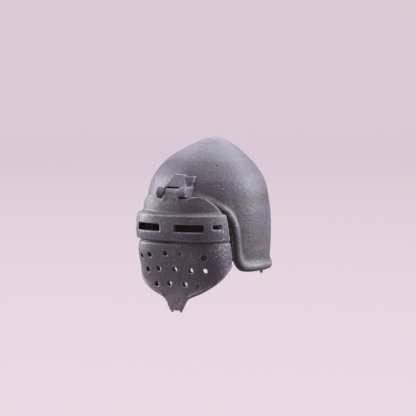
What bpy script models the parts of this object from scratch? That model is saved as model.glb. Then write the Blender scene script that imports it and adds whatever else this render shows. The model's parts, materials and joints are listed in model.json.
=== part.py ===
"""A toy-sized bascinet in printed resin: a pointed skull with a rolled rim, and a visor on a brow hinge.

The origin is the middle of the flat seat inside the crown, where the wearer's head stops. +Z is up, the face
looks along -Y and the wearer's left is +X.
"""

import math

import bmesh
import bpy
import numpy as np
from mathutils import Vector

MM = 0.001

# The head that goes in, and the room round it
HEAD_RADIUS = 5.1 * MM
HEAD_CLEARANCE = 0.15 * MM
STUD_RADIUS = 2.45 * MM
STUD_CLEARANCE = 0.08 * MM
STUD_SOCKET_DEPTH = 1.9 * MM

# The skull
SIDE_WALL = 1.0 * MM
BACK_WALL = 1.2 * MM
FRONT_WALL = 1.05 * MM
CROWN_HEIGHT = 6.05 * MM
SKIRT_DEPTH = 6.95 * MM
APEX_SETBACK = 1.15 * MM
RIDGE_HEIGHT = 0.2 * MM
RIDGE_SPREAD = math.radians(14)
RIM_RADIUS = 0.52 * MM
RIM_PROUD = 0.25 * MM
FACE_TOP = 0.75 * MM
FACE_HALF_ANGLE = math.radians(59.7)

# The brow hinge
HINGE_FORWARD = 6.9 * MM
HINGE_HEIGHT = 1.08 * MM
EAR_RADIUS = 0.56 * MM
EAR_WIDTH = 0.8 * MM
EAR_ROOT_SHARE = 0.93
EAR_GAP = 1.7 * MM
KNUCKLE_RADIUS = 0.35 * MM
KNUCKLE_SIDE_CLEARANCE = 0.12 * MM
STEM_NECK_SHARE = 0.85
PIN_RADIUS = 0.16 * MM
PIN_CLEARANCE = 0.05 * MM
PIN_PROUD = 0.04 * MM
PLATE_THICKNESS = 0.2 * MM
PLATE_WIDTH = 3.1 * MM
PLATE_BOTTOM = 0.8 * MM
PLATE_HEIGHT = 1.77 * MM
WING_WIDTH = 3.45 * MM
WING_HEIGHT = 0.42 * MM
BLOCK_TOP_WIDTH = 1.45 * MM
BLOCK_BOTTOM_WIDTH = 2.6 * MM
BLOCK_HEIGHT = 1.1 * MM
BLOCK_SLOT = 0.12 * MM
BLOCK_REACH = 0.7 * MM
BLOCK_SLOPE = 0.86 * MM
SEAT_GAP = 0.05 * MM

# The visor
VISOR_WALL = 0.65 * MM
VISOR_HALF_WIDTH = 5.05 * MM
VISOR_REACH = 7.72 * MM
VISOR_TOP = 0.46 * MM
VISOR_BACK = 3.75 * MM
VISOR_OVERLAP = math.radians(3)
CHIN_DEPTH = 9.3 * MM
TONGUE_LENGTH = 1.36 * MM
TONGUE_HALF_ANGLE = math.radians(14)
BAND_TOP = 1.02 * MM
BAND_HEIGHT = 2.68 * MM
BAND_PROUD = 0.54 * MM
BAND_SIDE_SHARE = 0.25
BAND_EDGE = 0.1 * MM
STEM_TOP_WIDTH = 1.36 * MM
STEM_FOOT_WIDTH = 1.8 * MM

# The openings in the visor
SLOT_HEIGHT = 0.73 * MM
SLOT_DROP = 2.35 * MM
SLOT_LENGTH = 2.89 * MM
SLOT_BRIDGE = 1.62 * MM
SIDE_SLOT_LENGTH = 1.05 * MM
SIDE_SLOT_HEIGHT = 0.42 * MM
SIDE_SLOT_PLACE = 0.92
SIDE_SLOT_RAISED = 0.1 * MM
SIDE_SLOT_INWARD = 1.15
BREATH_RADIUS = 0.25 * MM

CAVITY_RADIUS = HEAD_RADIUS + HEAD_CLEARANCE
SOCKET_RADIUS = STUD_RADIUS + STUD_CLEARANCE
SKULL_HALF_WIDTH = CAVITY_RADIUS + SIDE_WALL
SKULL_BACK = CAVITY_RADIUS + BACK_WALL
SKULL_FRONT = CAVITY_RADIUS + FRONT_WALL
RIM_INSET = RIM_RADIUS - RIM_PROUD
RIM_LOW = RIM_RADIUS - SKIRT_DEPTH
VISOR_BOTTOM = -CHIN_DEPTH - TONGUE_LENGTH
BORE_RADIUS = PIN_RADIUS + PIN_CLEARANCE
KNUCKLE_WIDTH = EAR_GAP - 2 * KNUCKLE_SIDE_CLEARANCE
FAR = 4 * CAVITY_RADIUS

# Skull above the seat: share of CROWN_HEIGHT, of the half sizes, of APEX_SETBACK and of RIDGE_HEIGHT
CROWN = (
    (0.000, 0.966, 0.00, 0.0),
    (0.160, 0.942, 0.00, 0.1),
    (0.339, 0.886, 0.00, 0.5),
    (0.494, 0.792, 0.03, 0.9),
    (0.651, 0.656, 0.12, 1.0),
    (0.772, 0.503, 0.40, 1.0),
    (0.883, 0.329, 0.80, 0.8),
    (0.960, 0.180, 0.97, 0.3),
    (0.992, 0.080, 1.00, 0.0),
    (1.000, 0.020, 1.00, 0.0),
)

# Skull below the seat: share of SKIRT_DEPTH, share of the half sizes
SKIRT = (
    (0.00, 0.966),
    (0.19, 0.992),
    (0.42, 1.000),
    (0.65, 0.995),
    (0.82, 0.984),
    (1.00, 0.975),
)

# Edge of the face opening: share of FACE_HALF_ANGLE, share of the way down from FACE_TOP to the low rim
FACE_EDGE = (
    (0.00, 0.000),
    (0.22, 0.008),
    (0.45, 0.045),
    (0.68, 0.143),
    (0.81, 0.215),
    (0.92, 0.340),
    (0.975, 0.480),
    (1.00, 0.640),
    (1.02, 0.800),
    (1.06, 0.920),
    (1.15, 0.990),
    (1.25, 1.000),
)

# Visor body: share of CHIN_DEPTH below the seat, of VISOR_HALF_WIDTH and of VISOR_REACH, corner exponent
FACE = (
    (-0.060, 0.845, 0.953, 2.2),
    (0.035, 0.893, 0.970, 2.2),
    (0.095, 0.920, 0.976, 2.2),
    (0.125, 0.985, 0.990, 2.3),
    (0.260, 0.998, 0.992, 2.5),
    (0.400, 0.995, 0.966, 2.5),
    (0.550, 0.990, 0.920, 3.0),
    (0.720, 0.968, 0.861, 2.9),
    (0.830, 0.953, 0.823, 2.9),
    (0.900, 0.932, 0.806, 3.1),
    (0.970, 0.887, 0.803, 3.2),
    (1.030, 0.853, 0.810, 3.2),
    (1.150, 0.814, 0.829, 3.2),
)

# Rear edge of the visor, seen from the side: share of CHIN_DEPTH below the seat, share of VISOR_BACK forward
REAR_EDGE = (
    (0.010, 1.530),
    (0.060, 1.465),
    (0.105, 1.395),
    (0.170, 1.340),
    (0.320, 1.220),
    (0.490, 1.062),
    (0.600, 1.015),
    (0.760, 0.985),
)

# Lower edge of the visor: degrees from the middle of the face, share of CHIN_DEPTH below the seat
CHIN_EDGE = (
    (0, 1.146),
    (15, 1.138),
    (18, 1.115),
    (21, 1.087),
    (24, 1.060),
    (28, 1.033),
    (34, 1.008),
    (48, 0.965),
    (62, 0.892),
    (74, 0.800),
    (84, 0.720),
    (92, 0.660),
    (101, 0.620),
)

# Breath holes: share of VISOR_HALF_WIDTH from the middle, share of CHIN_DEPTH, share of BREATH_RADIUS
BREATHS = (
    (-0.765, 0.580, 1.0),
    (-0.530, 0.558, 1.0),
    (-0.150, 0.532, 1.0),
    (0.665, 0.568, 1.25),
    (-0.640, 0.724, 1.0),
    (-0.360, 0.704, 1.0),
    (0.010, 0.703, 1.0),
    (0.362, 0.709, 1.0),
    (0.650, 0.711, 1.0),
    (-0.455, 0.874, 1.0),
    (-0.155, 0.861, 1.0),
    (0.192, 0.862, 1.0),
)

# How finely the shapes are divided
SKULL_SIDES = 48
CROWN_RINGS = 11
SKIRT_RINGS = 5
RIM_FACE_STEPS = 18
RIM_BACK_STEPS = 16
RIM_RESOLUTION = 3
VISOR_COLUMNS = 36
ROUND_SIDES = 24
HOLE_SIDES = 12
EDGE_STEPS = 24

PARTS = "toy_bascinet"
CUTTERS = "toy_bascinet_cutters"
OPENINGS = "toy_bascinet_visor_openings"


def clear_scene():
    for thing in list(bpy.data.objects):
        bpy.data.objects.remove(thing, do_unlink=True)


def collection(name):
    made = bpy.data.collections.new(name)
    bpy.context.scene.collection.children.link(made)
    return made


def resin(name, colour, roughness):
    """A printed resin of the given colour."""
    made = bpy.data.materials.new(name)
    made.use_nodes = True
    shader = made.node_tree.nodes["Principled BSDF"]
    shader.inputs["Base Color"].default_value = (*colour, 1.0)
    shader.inputs["Roughness"].default_value = roughness
    shader.inputs["Metallic"].default_value = 0.0
    return made


def smooth_column(table, column, at):
    """A table's column read at the values of its first column, along monotone cubic pieces."""
    rows = np.array(table)
    known, values = rows[:, 0], rows[:, column]
    steps = np.diff(known)
    slopes = np.diff(values) / steps
    tangents = np.zeros(len(known))
    same = slopes[:-1] * slopes[1:] > 0
    weights = 2 * steps[1:] + steps[:-1], steps[1:] + 2 * steps[:-1]
    safe = np.where(same, slopes[:-1], 1), np.where(same, slopes[1:], 1)
    means = (weights[0] + weights[1]) / (weights[0] / safe[0] + weights[1] / safe[1])
    tangents[1:-1] = np.where(same, means, 0)
    tangents[0], tangents[-1] = slopes[0], slopes[-1]
    at = np.clip(at, known[0], known[-1])
    piece = np.clip(np.searchsorted(known, at, side="right") - 1, 0, len(steps) - 1)
    t = (at - known[piece]) / steps[piece]
    rise = values[piece + 1] - values[piece]
    start, end = tangents[piece] * steps[piece], tangents[piece + 1] * steps[piece]
    return values[piece] + t * (start + t * ((3 * rise - 2 * start - end) + t * (start + end - 2 * rise)))


def mesh_object(name, points, faces, where):
    """A mesh object in the given collection, with its faces turned outwards."""
    mesh = bpy.data.meshes.new(name)
    mesh.from_pydata([tuple(point) for point in points], [], faces)
    made = bpy.data.objects.new(name, mesh)
    where.objects.link(made)
    shape = bmesh.new()
    shape.from_mesh(mesh)
    bmesh.ops.recalc_face_normals(shape, faces=shape.faces)
    shape.to_mesh(mesh)
    shape.free()
    return made


def guide(made):
    """Marks a cutter or a piece that another one takes up."""
    made.hide_render = True
    made.display_type = "WIRE"
    return made


def closed_loft(name, rings, where):
    """Skin through closed rings of equal length, with a flat cap at each end."""
    count = len(rings[0])
    points = np.concatenate(rings)
    faces = []
    for ring in range(len(rings) - 1):
        for side in range(count):
            after = (side + 1) % count
            low, high = ring * count, (ring + 1) * count
            faces.append((low + side, low + after, high + after, high + side))
    faces.append(tuple(range(count)))
    faces.append(tuple(range(len(points) - count, len(points))))
    return mesh_object(name, points, faces, where)


def prism(name, outline, axis, reach, where):
    """A flat outline carried along X (axis 0) or Y (axis 1), from reach[0] to reach[1]."""
    rings = []
    for place in reach:
        rings.append(np.insert(np.array(outline), axis, place, axis=1))
    return closed_loft(name, rings, where)


def cylinder(name, radius, length, sides, where):
    """A cylinder about the Z axis with its middle at the origin."""
    mesh = bpy.data.meshes.new(name)
    shape = bmesh.new()
    bmesh.ops.create_cone(
        shape, cap_ends=True, segments=sides, radius1=radius, radius2=radius, depth=length
    )
    shape.to_mesh(mesh)
    shape.free()
    made = bpy.data.objects.new(name, mesh)
    where.objects.link(made)
    return made


def box(name, low, high, where):
    """A box between two corners."""
    mesh = bpy.data.meshes.new(name)
    shape = bmesh.new()
    bmesh.ops.create_cube(shape, size=1.0)
    middle = (np.array(low) + np.array(high)) / 2
    sides = np.array(high) - np.array(low)
    for corner in shape.verts:
        corner.co = middle + np.array(corner.co) * sides
    shape.to_mesh(mesh)
    shape.free()
    made = bpy.data.objects.new(name, mesh)
    where.objects.link(made)
    return made


def combine(made, operation, other):
    """Adds a Boolean that joins, cuts or meets one object with another."""
    step = made.modifiers.new(other.name, "BOOLEAN")
    step.operation = operation
    step.solver = "EXACT"
    step.object = other


def cut_all(made, cutters):
    """Cuts an object with every object of a collection, in one step that keeps bent walls closed."""
    step = made.modifiers.new(cutters.name, "BOOLEAN")
    step.operation = "DIFFERENCE"
    step.solver = "MANIFOLD"
    step.operand_type = "COLLECTION"
    step.collection = cutters


def shade(made, material):
    made.data.materials.append(material)
    made.data.shade_smooth()
    made.data.set_sharp_from_angle(angle=math.radians(35))


def skull_size(height):
    """Share of the half sizes, setback and ridge of the skull at a height above the seat."""
    if height >= 0:
        share = height / CROWN_HEIGHT
        size, setback, ridge = (smooth_column(CROWN, column, share) for column in (1, 2, 3))
        return float(size), float(setback) * APEX_SETBACK, float(ridge) * RIDGE_HEIGHT
    return float(smooth_column(SKIRT, 1, -height / SKIRT_DEPTH)), 0.0, 0.0


def skull_point(bearing, height, offset=0.0):
    """A point of the skull's outside, at a bearing from the face round to the back, moved out by offset."""
    size, setback, ridge = skull_size(height)
    across = math.sin(bearing)
    along = -math.cos(bearing)
    depth = SKULL_FRONT if along < 0 else SKULL_BACK
    radius = size / math.hypot(across / SKULL_HALF_WIDTH, along / depth) + offset
    radius += ridge * math.exp(-((bearing / RIDGE_SPREAD) ** 2))
    return np.array((across * radius, setback + along * radius, height))


def skull_form(name, offset, where):
    """The skull's outside as a closed solid, moved out by offset and ending at the middle of the low rim."""
    # Rings crowd towards the apex, where the slope turns flat
    heights = [RIM_LOW * (1 - step / SKIRT_RINGS) for step in range(SKIRT_RINGS)]
    heights += [
        CROWN_HEIGHT * math.sin(math.pi / 2 * step / CROWN_RINGS) for step in range(CROWN_RINGS + 1)
    ]
    bearings = [math.pi * (2 * side / SKULL_SIDES - 1) for side in range(SKULL_SIDES)]
    rings = []
    for height in heights:
        ring = np.array([skull_point(bearing, height, offset) for bearing in bearings])
        ring[:, 2] += offset * max(0.0, height / CROWN_HEIGHT)
        rings.append(ring)
    return closed_loft(name, rings, where)


def face_edge(share):
    """Bearing and height of the face opening's edge, at a share of the way down from the brow."""
    last = FACE_EDGE[-1][0]
    drop = float(smooth_column(FACE_EDGE, 1, share * last))
    return share * last * FACE_HALF_ANGLE, FACE_TOP + drop * (RIM_LOW - FACE_TOP)


def radial_cutter(name, places, inner, centre, where):
    """Cuts a wall away below an edge given by bearings and heights, straight out from an upright axis."""
    columns = []
    for bearing, top in places:
        facing = np.array((math.sin(bearing), -math.cos(bearing), 0.0))
        corners = ((inner, -FAR), (FAR, -FAR), (FAR, top), (inner, top))
        columns.append(np.array([facing * radius + (0, centre, height) for radius, height in corners]))
    return guide(closed_loft(name, columns, where))


def both_sides(places):
    """Places from the middle round to one side, repeated from the far end of the other side."""
    return [(-bearing, height) for bearing, height in places[:0:-1]] + places


def face_cutter(where):
    """Cuts the skull's wall away below the face opening's edge."""
    places = [face_edge(step / EDGE_STEPS) for step in range(EDGE_STEPS + 1)]
    inner = CAVITY_RADIUS - HEAD_CLEARANCE
    return radial_cutter("face_cutter", both_sides(places), inner, 0.0, where)


def edge_steps():
    """Shares along the face edge, close together where it turns down."""
    for step in range(RIM_FACE_STEPS):
        yield math.sin(math.pi / 2 * step / RIM_FACE_STEPS)


def rim(name, radius, where):
    """The rolled rim, a round bead along the face opening and the lower edge."""
    places = [face_edge(share) for share in edge_steps()]
    corner = face_edge(1.0)[0]
    for step in range(RIM_BACK_STEPS + 1):
        places.append((corner + (math.pi - corner) * step / RIM_BACK_STEPS, RIM_LOW))
    left = [skull_point(bearing, height, -RIM_INSET) for bearing, height in places]
    right = [point * (-1, 1, 1) for point in left[-2:0:-1]]
    points = left + right
    curve = bpy.data.curves.new(name, "CURVE")
    curve.dimensions = "3D"
    curve.bevel_depth = radius
    curve.bevel_resolution = RIM_RESOLUTION
    line = curve.splines.new("POLY")
    line.points.add(len(points) - 1)
    for place, point in zip(line.points, points):
        place.co = (*point, 1.0)
    line.use_cyclic_u = True
    return curve_as_mesh(name, curve, where)


def curve_as_mesh(name, curve, where):
    """A curve's tube as a mesh object, with its doubled points merged."""
    holder = bpy.data.objects.new(name + "_curve", curve)
    where.objects.link(holder)
    bpy.context.view_layer.update()
    evaluated = holder.evaluated_get(bpy.context.evaluated_depsgraph_get())
    mesh = bpy.data.meshes.new_from_object(evaluated)
    shape = bmesh.new()
    shape.from_mesh(mesh)
    bmesh.ops.remove_doubles(shape, verts=shape.verts, dist=0.001 * MM)
    bmesh.ops.recalc_face_normals(shape, faces=shape.faces)
    shape.to_mesh(mesh)
    shape.free()
    made = bpy.data.objects.new(name, mesh)
    made.matrix_world = holder.matrix_world
    where.objects.link(made)
    bpy.data.objects.remove(holder, do_unlink=True)
    return guide(made)


def build_skull(parts, cutters):
    skull = skull_form("skull", 0.0, parts)
    cavity = guide(cylinder("cavity", CAVITY_RADIUS, FAR, SKULL_SIDES, cutters))
    cavity.location.z = -FAR / 2
    socket_length = 2 * STUD_SOCKET_DEPTH
    socket = guide(cylinder("stud_socket", SOCKET_RADIUS, socket_length, ROUND_SIDES, cutters))
    combine(skull, "DIFFERENCE", face_cutter(cutters))
    combine(skull, "UNION", rim("rim", RIM_RADIUS, cutters))
    combine(skull, "DIFFERENCE", cavity)
    combine(skull, "DIFFERENCE", socket)
    shade(skull, resin("skull_resin", (0.165, 0.155, 0.180), 0.55))
    return skull


def about_hinge(made):
    """Lays a Z cylinder along the hinge's axis."""
    made.rotation_euler.y = math.pi / 2
    made.location = (0, -HINGE_FORWARD, HINGE_HEIGHT)
    return made


def ear(side, where):
    """A round ear and its root, which runs back into the skull."""
    middle = side * (EAR_GAP + EAR_WIDTH) / 2
    name = "ear_left" if side > 0 else "ear_right"
    lug = guide(about_hinge(cylinder(name, EAR_RADIUS, EAR_WIDTH, ROUND_SIDES, where)))
    lug.location.x = middle
    low = HINGE_HEIGHT - EAR_ROOT_SHARE * EAR_RADIUS
    high = HINGE_HEIGHT + EAR_ROOT_SHARE * EAR_RADIUS
    half = EAR_WIDTH / 2
    corners = (middle - half, -HINGE_FORWARD, low), (middle + half, -CAVITY_RADIUS, high)
    root = guide(box(name + "_root", *corners, where))
    return lug, root


def hinge_block(where):
    """The bevelled block above the knuckle: wide and proud at its foot, narrow and low at its top."""
    foot = HINGE_HEIGHT + KNUCKLE_RADIUS + BLOCK_SLOT
    top = foot + BLOCK_HEIGHT
    proud = -skull_point(0.0, foot)[1] + BLOCK_REACH
    inside = -proud + BLOCK_REACH + 2 * BLOCK_SLOPE
    rings = []
    for height, width, front in (
        (foot, BLOCK_BOTTOM_WIDTH, -proud),
        (top, BLOCK_TOP_WIDTH, -proud + BLOCK_SLOPE),
    ):
        # The front is narrower than the back, so the sides lean in
        lean = BLOCK_REACH / 4
        rings.append(
            np.array(
                (
                    (-width / 2 + lean, front, height),
                    (width / 2 - lean, front, height),
                    (width / 2 + lean, inside, height),
                    (-width / 2 - lean, inside, height),
                )
            )
        )
    return guide(closed_loft("hinge_block", rings, where))


def hinge_plate(where):
    """Outline of the T-shaped plate: a body and two wings along its top."""
    top = PLATE_BOTTOM + PLATE_HEIGHT
    shoulder = top - WING_HEIGHT
    half = ((PLATE_WIDTH / 2, PLATE_BOTTOM), (PLATE_WIDTH / 2, shoulder))
    half += ((WING_WIDTH / 2, shoulder), (WING_WIDTH / 2, top))
    outline = list(half) + [(-across, height) for across, height in reversed(half)]
    return prism("hinge_bracket", outline, 1, (-FAR / 2, -CAVITY_RADIUS / 2), where)


def build_bracket(parts, cutters):
    bracket = hinge_plate(parts)
    combine(bracket, "INTERSECT", guide(skull_form("plate_face", PLATE_THICKNESS + SEAT_GAP, cutters)))
    combine(bracket, "UNION", hinge_block(cutters))
    for side in (-1, 1):
        for piece in ear(side, cutters):
            combine(bracket, "UNION", piece)
    bore_length = 2 * EAR_GAP + 2 * EAR_WIDTH
    bore = guide(about_hinge(cylinder("ear_bore", BORE_RADIUS, bore_length, HOLE_SIDES, cutters)))
    combine(bracket, "DIFFERENCE", bore)
    combine(bracket, "DIFFERENCE", guide(skull_form("bracket_seat", SEAT_GAP, cutters)))
    combine(bracket, "DIFFERENCE", rim("rim_seat", RIM_RADIUS + SEAT_GAP, cutters))
    shade(bracket, resin("bracket_resin", (0.180, 0.168, 0.192), 0.52))
    return bracket


def build_pin(parts):
    length = EAR_GAP + 2 * EAR_WIDTH + 2 * PIN_PROUD
    pin = about_hinge(cylinder("hinge_pin", PIN_RADIUS, length, HOLE_SIDES, parts))
    shade(pin, resin("pin_resin", (0.150, 0.142, 0.160), 0.45))
    return pin


def visor_rows(inset):
    """Height, half width, reach and corner exponent of the visor's rows, with its wall's inset taken off."""
    band_low = BAND_TOP + BAND_HEIGHT
    drops = [row[0] * CHIN_DEPTH for row in FACE]
    above = [drop for drop in drops if drop < BAND_TOP - BAND_EDGE]
    below = [drop for drop in drops if drop > band_low + BAND_EDGE]
    rows = [(drop, 0.0) for drop in above]
    rows += [(BAND_TOP + inset, 0.0), (BAND_TOP + BAND_EDGE + inset, 1.0)]
    rows += [(band_low - BAND_EDGE - inset, 1.0), (band_low - inset, 0.0)]
    rows += [(drop, 0.0) for drop in below]
    made = []
    for drop, proud in rows:
        share = drop / CHIN_DEPTH
        width, reach, corner = (float(smooth_column(FACE, column, share)) for column in (1, 2, 3))
        half = width * VISOR_HALF_WIDTH + proud * BAND_SIDE_SHARE * BAND_PROUD - inset
        forward = reach * VISOR_REACH + proud * BAND_PROUD - inset
        made.append((-drop, half, forward, corner))
    return made


def visor_point(row, bearing):
    """A point of a visor row, a curve between an ellipse and a box, at a bearing from its left side."""
    height, half, forward, corner = row
    across, ahead = math.cos(bearing), math.sin(bearing)
    depth = forward - VISOR_BACK
    power = abs(across / half) ** corner + abs(ahead / depth) ** corner
    radius = power ** (-1 / corner)
    return np.array((across * radius, -VISOR_BACK - ahead * radius, height))


def visor_blank(where):
    """The visor's wall before it is trimmed: the outer rows, then the inner rows back again."""
    bearings = np.linspace(-VISOR_OVERLAP, math.pi + VISOR_OVERLAP, VISOR_COLUMNS + 1)
    rows = visor_rows(0.0) + visor_rows(VISOR_WALL)[::-1]
    strips = []
    for bearing in bearings:
        strips.append(np.array([visor_point(row, bearing) for row in rows]))
    return closed_loft("visor", strips, where)


def side_outline(where):
    """What is kept of the visor, seen from the side: all in front of its rear edge."""
    last = REAR_EDGE[-1][0]
    shares = np.linspace(REAR_EDGE[0][0], last, EDGE_STEPS)
    rear = [
        (-float(smooth_column(REAR_EDGE, 1, share)) * VISOR_BACK, -share * CHIN_DEPTH) for share in shares
    ]
    brow = (rear[0][0] - VISOR_TOP, VISOR_TOP)
    outline = [(-FAR, VISOR_TOP), brow] + rear + [(rear[-1][0], -FAR), (-FAR, -FAR)]
    return guide(prism("visor_side_outline", outline, 0, (-FAR, FAR), where))


def chin_cutter(where):
    """Cuts the visor's wall away below the chin's edge, and leaves the tongue at the middle."""
    places = [(0.0, VISOR_BOTTOM), (TONGUE_HALF_ANGLE, VISOR_BOTTOM)]
    last = CHIN_EDGE[-1][0]
    start = CHIN_EDGE[1][0]
    for step in range(EDGE_STEPS + 1):
        degrees = start + (last - start) * step / EDGE_STEPS
        drop = float(smooth_column(CHIN_EDGE, 1, degrees))
        places.append((math.radians(degrees), -drop * CHIN_DEPTH))
    inner = VISOR_WALL / 2
    return radial_cutter("chin_cutter", both_sides(places), inner, -VISOR_BACK, where)


def visor_stem(where):
    """The stem from the brow up to the knuckle, wider at its foot."""
    outer = visor_rows(0.0)[0][2]
    foot = VISOR_TOP - VISOR_WALL
    neck = STEM_NECK_SHARE * KNUCKLE_RADIUS
    rings = []
    for height, width, front in (
        (foot, STEM_FOOT_WIDTH, -outer),
        (VISOR_TOP, STEM_FOOT_WIDTH, -outer),
        (HINGE_HEIGHT, STEM_TOP_WIDTH, -HINGE_FORWARD - neck),
    ):
        rings.append(
            np.array(
                (
                    (-width / 2, front, height),
                    (width / 2, front, height),
                    (width / 2, neck - HINGE_FORWARD, height),
                    (-width / 2, neck - HINGE_FORWARD, height),
                )
            )
        )
    return guide(closed_loft("visor_stem", rings, where))


def long_slots(where):
    """The two sights at the front of the band."""
    for side in (-1, 1):
        start = side * SLOT_BRIDGE / 2
        end = side * (SLOT_BRIDGE / 2 + SLOT_LENGTH)
        low = (min(start, end), -FAR, -SLOT_DROP - SLOT_HEIGHT / 2)
        high = (max(start, end), -VISOR_BACK - VISOR_WALL, -SLOT_DROP + SLOT_HEIGHT / 2)
        guide(box(f"long_slot_{'left' if side > 0 else 'right'}", low, high, where))


def face_row(drop):
    """The visor's row at a share of CHIN_DEPTH below the seat, on the body or on the band."""
    width, reach, corner = (float(smooth_column(FACE, column, drop)) for column in (1, 2, 3))
    on_band = BAND_TOP < drop * CHIN_DEPTH < BAND_TOP + BAND_HEIGHT
    proud = BAND_PROUD if on_band else 0.0
    half = width * VISOR_HALF_WIDTH + BAND_SIDE_SHARE * proud
    return -drop * CHIN_DEPTH, half, reach * VISOR_REACH + proud, corner


def wall_point(row, across):
    """Place and outward direction of a row's wall at a distance across from the middle."""
    height, half, forward, corner = row
    depth = forward - VISOR_BACK
    share = abs(across) / half
    ahead = depth * (1 - share**corner) ** (1 / corner)
    lean = math.copysign(share ** (corner - 1) / half, across)
    outward = Vector((lean, -((ahead / depth) ** (corner - 1)) / depth, 0.0))
    return Vector((across, -VISOR_BACK - ahead, height)), outward.normalized()


def side_slots(where):
    """The two short sights at the corners of the band, square to its wall."""
    row = face_row((SLOT_DROP - SIDE_SLOT_RAISED) / CHIN_DEPTH)
    for side in (-1, 1):
        place, outward = wall_point(row, side * SIDE_SLOT_PLACE * VISOR_HALF_WIDTH)
        cutter = box(
            f"short_slot_{'left' if side > 0 else 'right'}",
            (-SIDE_SLOT_INWARD * VISOR_WALL, -SIDE_SLOT_LENGTH / 2, -SIDE_SLOT_HEIGHT / 2),
            (2 * VISOR_WALL, SIDE_SLOT_LENGTH / 2, SIDE_SLOT_HEIGHT / 2),
            where,
        )
        cutter.location = place
        cutter.rotation_euler.z = math.atan2(outward.y, outward.x)
        guide(cutter)


def breath_holes(where):
    """Round holes drilled square to the visor's wall."""
    for number, (across, drop, size) in enumerate(BREATHS):
        place, outward = wall_point(face_row(drop), across * VISOR_HALF_WIDTH)
        radius = size * BREATH_RADIUS
        cutter = cylinder(f"breath_{number}", radius, 4 * VISOR_WALL, HOLE_SIDES, where)
        cutter.rotation_mode = "QUATERNION"
        cutter.rotation_quaternion = outward.to_track_quat("Z", "Y")
        cutter.location = place
        guide(cutter)


def build_visor(parts, cutters, openings):
    visor = visor_blank(parts)
    combine(visor, "INTERSECT", side_outline(cutters))
    combine(visor, "UNION", visor_stem(cutters))
    knuckle = cylinder("knuckle", KNUCKLE_RADIUS, KNUCKLE_WIDTH, ROUND_SIDES, cutters)
    combine(visor, "UNION", guide(about_hinge(knuckle)))
    guide(about_hinge(cylinder("knuckle_bore", BORE_RADIUS, 2 * KNUCKLE_WIDTH, HOLE_SIDES, openings)))
    chin_cutter(openings)
    long_slots(openings)
    side_slots(openings)
    breath_holes(openings)
    cut_all(visor, openings)
    shade(visor, resin("visor_resin", (0.175, 0.163, 0.188), 0.55))
    return visor


def hang_on_hinge(visor):
    """Puts the visor's origin on the hinge's axis, under an empty that marks it."""
    axis = bpy.data.objects.new("visor_hinge", None)
    axis.location = (0, -HINGE_FORWARD, HINGE_HEIGHT)
    visor.users_collection[0].objects.link(axis)
    for corner in visor.data.vertices:
        corner.co -= axis.location
    visor.parent = axis


def main():
    clear_scene()
    parts, cutters, openings = collection(PARTS), collection(CUTTERS), collection(OPENINGS)
    build_skull(parts, cutters)
    build_bracket(parts, cutters)
    build_pin(parts)
    hang_on_hinge(build_visor(parts, cutters, openings))


main()
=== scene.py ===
"""A toy-sized bascinet in grey printed resin: a pointed skull with a rolled rim and a hinged visor.

Lengths in the tables are shares of named sizes. +Z is up, the face looks along -Y, and the wearer's left is
+X.
"""

import json
import math
from functools import partial

import bpy
import numpy as np
from bpy.props import FloatProperty, FloatVectorProperty, IntProperty, PointerProperty
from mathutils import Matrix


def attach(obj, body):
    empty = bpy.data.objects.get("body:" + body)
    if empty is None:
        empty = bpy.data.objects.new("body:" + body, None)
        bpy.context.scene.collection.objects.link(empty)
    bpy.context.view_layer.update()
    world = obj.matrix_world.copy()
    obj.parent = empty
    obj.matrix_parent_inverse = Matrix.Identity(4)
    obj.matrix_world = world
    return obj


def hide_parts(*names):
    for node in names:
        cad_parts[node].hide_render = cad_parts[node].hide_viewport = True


bl_info = {
    "name": "Toy Bascinet",
    "version": (1, 0, 0),
    "blender": (4, 5, 0),
    "location": "3D View > Sidebar > Bascinet",
    "description": "Builds a toy-sized bascinet with a hinged visor, and a plain stage for it",
    "category": "Add Mesh",
}

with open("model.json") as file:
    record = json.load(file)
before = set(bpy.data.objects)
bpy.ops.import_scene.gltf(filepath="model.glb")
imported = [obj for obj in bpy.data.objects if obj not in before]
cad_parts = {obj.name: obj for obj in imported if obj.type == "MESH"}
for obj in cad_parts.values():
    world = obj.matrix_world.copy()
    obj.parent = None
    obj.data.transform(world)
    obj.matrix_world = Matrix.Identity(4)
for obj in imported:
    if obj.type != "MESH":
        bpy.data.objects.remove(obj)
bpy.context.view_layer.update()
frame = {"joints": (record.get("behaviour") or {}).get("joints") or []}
HINGE = np.array(frame["joints"][0]["pos_m"])

MM = 0.001

# Rows of the skull's skin: the rim's outline, the cavity's wall, the seat, the socket's wall and its roof
RIM_ROWS, WALL_ROWS, SEAT_ROWS, SOCKET_ROWS, ROOF_ROWS = 26, 12, 8, 5, 4

# How far the rim's outline turns, from level outwards down and in, and the share of the skirt's depth over
# which it slims towards the face
RIM_TURN = math.radians(150)
RIM_SLIMS_OVER = 0.25

# How fast the dome's columns turn from the rim's bearings to even ones, and how fast they leave its outline
COLUMN_TURN = 1.3
JOINT_FADE = 14

# Rows into the rim's outline where the painted shade of the rim's hidden face and the cavity starts, and rows
# over which it comes in
INNER_SHADE_FROM, INNER_SHADE_OVER = 5, 7

# Points round and down the visor's wall before its skin is rebuilt
VISOR_POINTS = (150, 130)

# The groove under the band: its middle below the band in shares of its width, its depth on the faint side,
# and the bearings off the wearer's left where it starts to deepen and over which it does
GROOVE_DROP, GROOVE_FAINT = 0.6, 0.2
GROOVE_FROM, GROOVE_OVER = math.radians(55), math.radians(35)

# Shares of the knuckle's radius in the stem's neck, and of the ears' in their roots
STEM_NECK_SHARE, EAR_ROOT_SHARE = 0.85, 0.93

# Passes that relax the visor's and the bracket's skins, and passes and reach of the marks on their edges
VISOR_PASSES, BRACKET_PASSES, EDGE_PASSES = 6, 28, 10
EDGE_REACH = 0.02 * MM

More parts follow.
